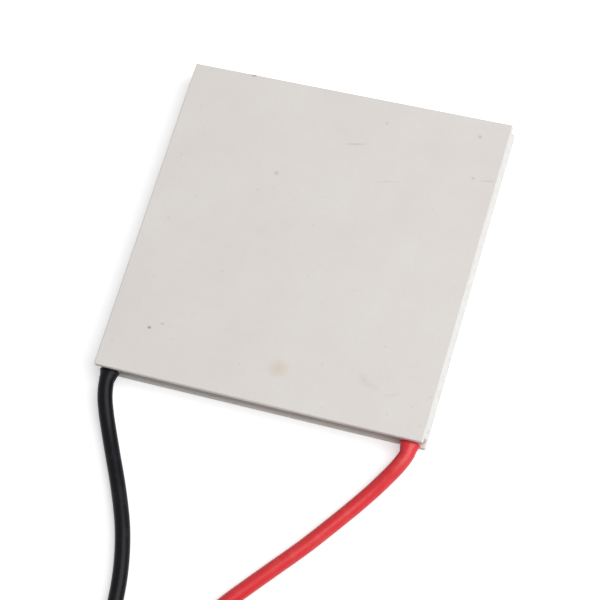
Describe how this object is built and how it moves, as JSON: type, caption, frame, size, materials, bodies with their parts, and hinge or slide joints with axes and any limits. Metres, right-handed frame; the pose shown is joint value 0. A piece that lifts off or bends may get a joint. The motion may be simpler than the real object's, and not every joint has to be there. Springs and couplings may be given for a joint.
{
  "type": "thermoelectric cooling module",
  "caption": "Flat square thermoelectric module: ceramic plates over a grid of soldered pellets and copper straps, white edge seal, black and red lead.",
  "frame": {"origin": "middle of the hot plate's outer face, on which the module rests", "axes": "+Z out of the cold face, +X along the lead edge towards the red lead, +Y away from the leads"},
  "size_m": [0.0621, 0.0958, 0.0042],
  "materials": {
    "ceramic": "fired alumina, fine matt grain",
    "silicone": "white silicone, slightly glossy, pitted by hand",
    "copper": "bare copper, satin",
    "solder": "dull bright solder",
    "p_pellets": "sawn crystal, nickel grey",
    "n_pellets": "sawn crystal, darker grey",
    "tinned_strands": "tinned copper strands",
    "black_vinyl": "smooth extruded vinyl",
    "red_vinyl": "smooth extruded vinyl",
    "tie": "natural nylon"
  },
  "bodies": {
    "root": {"cold_plate": "ceramic", "hot_plate": "ceramic", "edge_seal": "silicone", "cold_column_straps": "copper", "cold_far_links": "copper", "cold_near_links": "copper", "hot_straps": "copper", "black_terminal_pad": "copper", "red_terminal_pad": "copper", "cold_side_solder": "solder", "hot_side_solder": "solder", "black_lead_solder": "solder", "red_lead_solder": "solder", "black_lead_core": "tinned_strands", "red_lead_core": "tinned_strands", "p_pellets_column_01": "p_pellets", "p_pellets_column_02": "p_pellets", "p_pellets_column_03": "p_pellets", "p_pellets_column_04": "p_pellets", "p_pellets_column_05": "p_pellets", "p_pellets_column_06": "p_pellets", "p_pellets_column_07": "p_pellets", "p_pellets_column_08": "p_pellets", "p_pellets_column_09": "p_pellets", "p_pellets_column_10": "p_pellets", "p_pellets_column_11": "p_pellets", "p_pellets_column_12": "p_pellets", "p_pellets_column_13": "p_pellets", "p_pellets_column_14": "p_pellets", "p_pellets_column_15": "p_pellets", "p_pellets_column_16": "p_pellets", "n_pellets_column_01": "n_pellets", "n_pellets_column_02": "n_pellets", "n_pellets_column_03": "n_pellets", "n_pellets_column_04": "n_pellets", "n_pellets_column_05": "n_pellets", "n_pellets_column_06": "n_pellets", "n_pellets_column_07": "n_pellets", "n_pellets_column_08": "n_pellets", "n_pellets_column_09": "n_pellets", "n_pellets_column_10": "n_pellets", "n_pellets_column_11": "n_pellets", "n_pellets_column_12": "n_pellets", "n_pellets_column_13": "n_pellets", "n_pellets_column_14": "n_pellets", "n_pellets_column_15": "n_pellets", "n_pellets_column_16": "n_pellets", "black_lead": "black_vinyl", "black_lead_coil": "black_vinyl", "black_lead_tail": "black_vinyl", "black_lead_tinned_end": "tinned_strands", "black_lead_tie": "tie", "red_lead": "red_vinyl", "red_lead_coil": "red_vinyl", "red_lead_tail": "red_vinyl", "red_lead_tinned_end": "tinned_strands", "red_lead_tie": "tie"}
  },
  "joints": []
}
